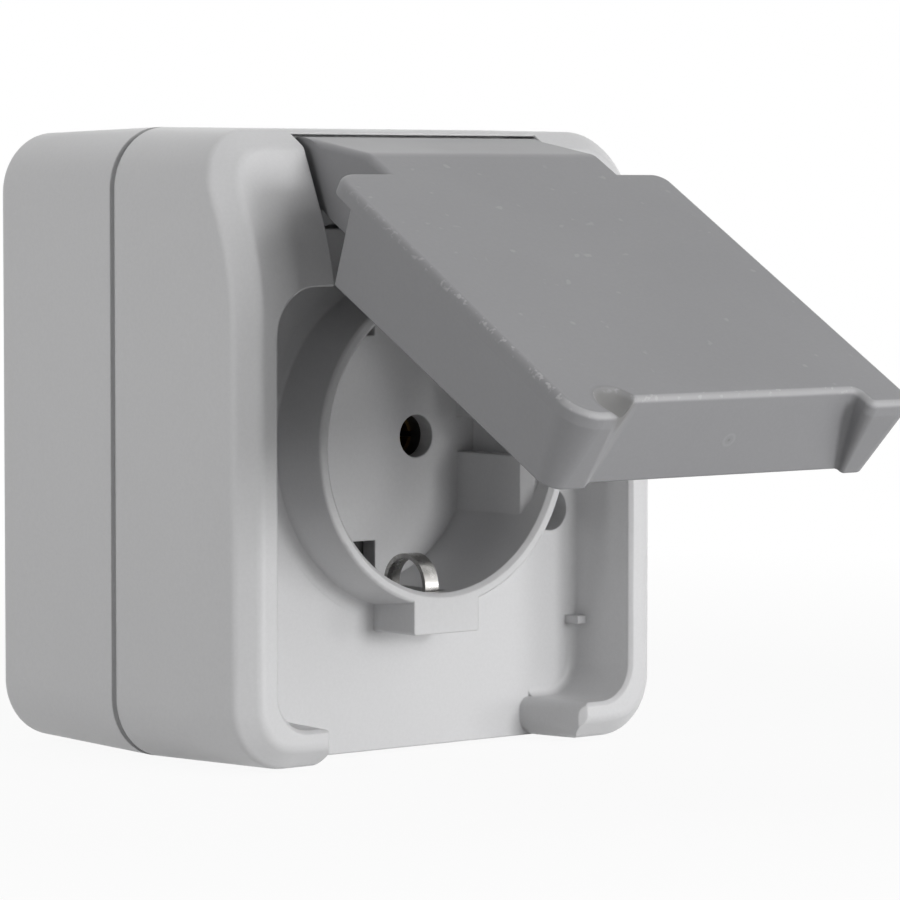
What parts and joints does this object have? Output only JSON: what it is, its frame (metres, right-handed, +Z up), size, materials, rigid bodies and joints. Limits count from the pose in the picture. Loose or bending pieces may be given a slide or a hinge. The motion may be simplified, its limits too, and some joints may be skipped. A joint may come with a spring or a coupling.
{
  "type": "outdoor weatherproof socket",
  "caption": "Surface-mounted weatherproof mains socket with a round earthed well in a square grey housing and a hinged splash lid that stands open.",
  "frame": {"origin": "centre of the box's back face, where it meets the wall", "axes": "+Y into the wall, +Z up, +X to the right as seen from the front"},
  "size_m": [0.0732, 0.1095, 0.0832],
  "materials": {
    "shell_grey": "satin",
    "lid_grey": "fine grain",
    "rubber": "matt",
    "brass": "bright",
    "steel": "zinc plated",
    "insulator": "matt",
    "earth_metal": "bright, lightly worn"
  },
  "bodies": {
    "housing": {"mounting_box": "shell_grey", "front_cover": "shell_grey", "box_gasket": "rubber", "cable_grommet_top": "rubber", "cable_grommet_bottom": "rubber", "cover_screw_left": "steel", "cover_screw_right": "steel", "screw_seal_left": "rubber", "screw_seal_right": "rubber", "contact_carrier": "insulator", "carrier_plate": "insulator", "carrier_screw_lower": "steel", "carrier_screw_upper": "steel", "line_contact": "brass", "neutral_contact": "brass", "earth_bow": "earth_metal", "line_terminal_screw": "steel", "line_clamp": "steel", "neutral_terminal_screw": "steel", "neutral_clamp": "steel", "earth_terminal_screw": "steel", "earth_clamp": "steel", "hinge_pin_left": "steel", "hinge_pin_right": "steel"},
    "lid": {"lid": "lid_grey", "lid_seal": "rubber"}
  },
  "joints": [
    {"name": "lid_hinge", "type": "hinge", "parent": "housing", "child": "lid", "pos_m": [0, -0.0449, 0.0344], "axis": [-1, 0, 0], "range_deg": [-58.8, 31.2]}
  ]
}
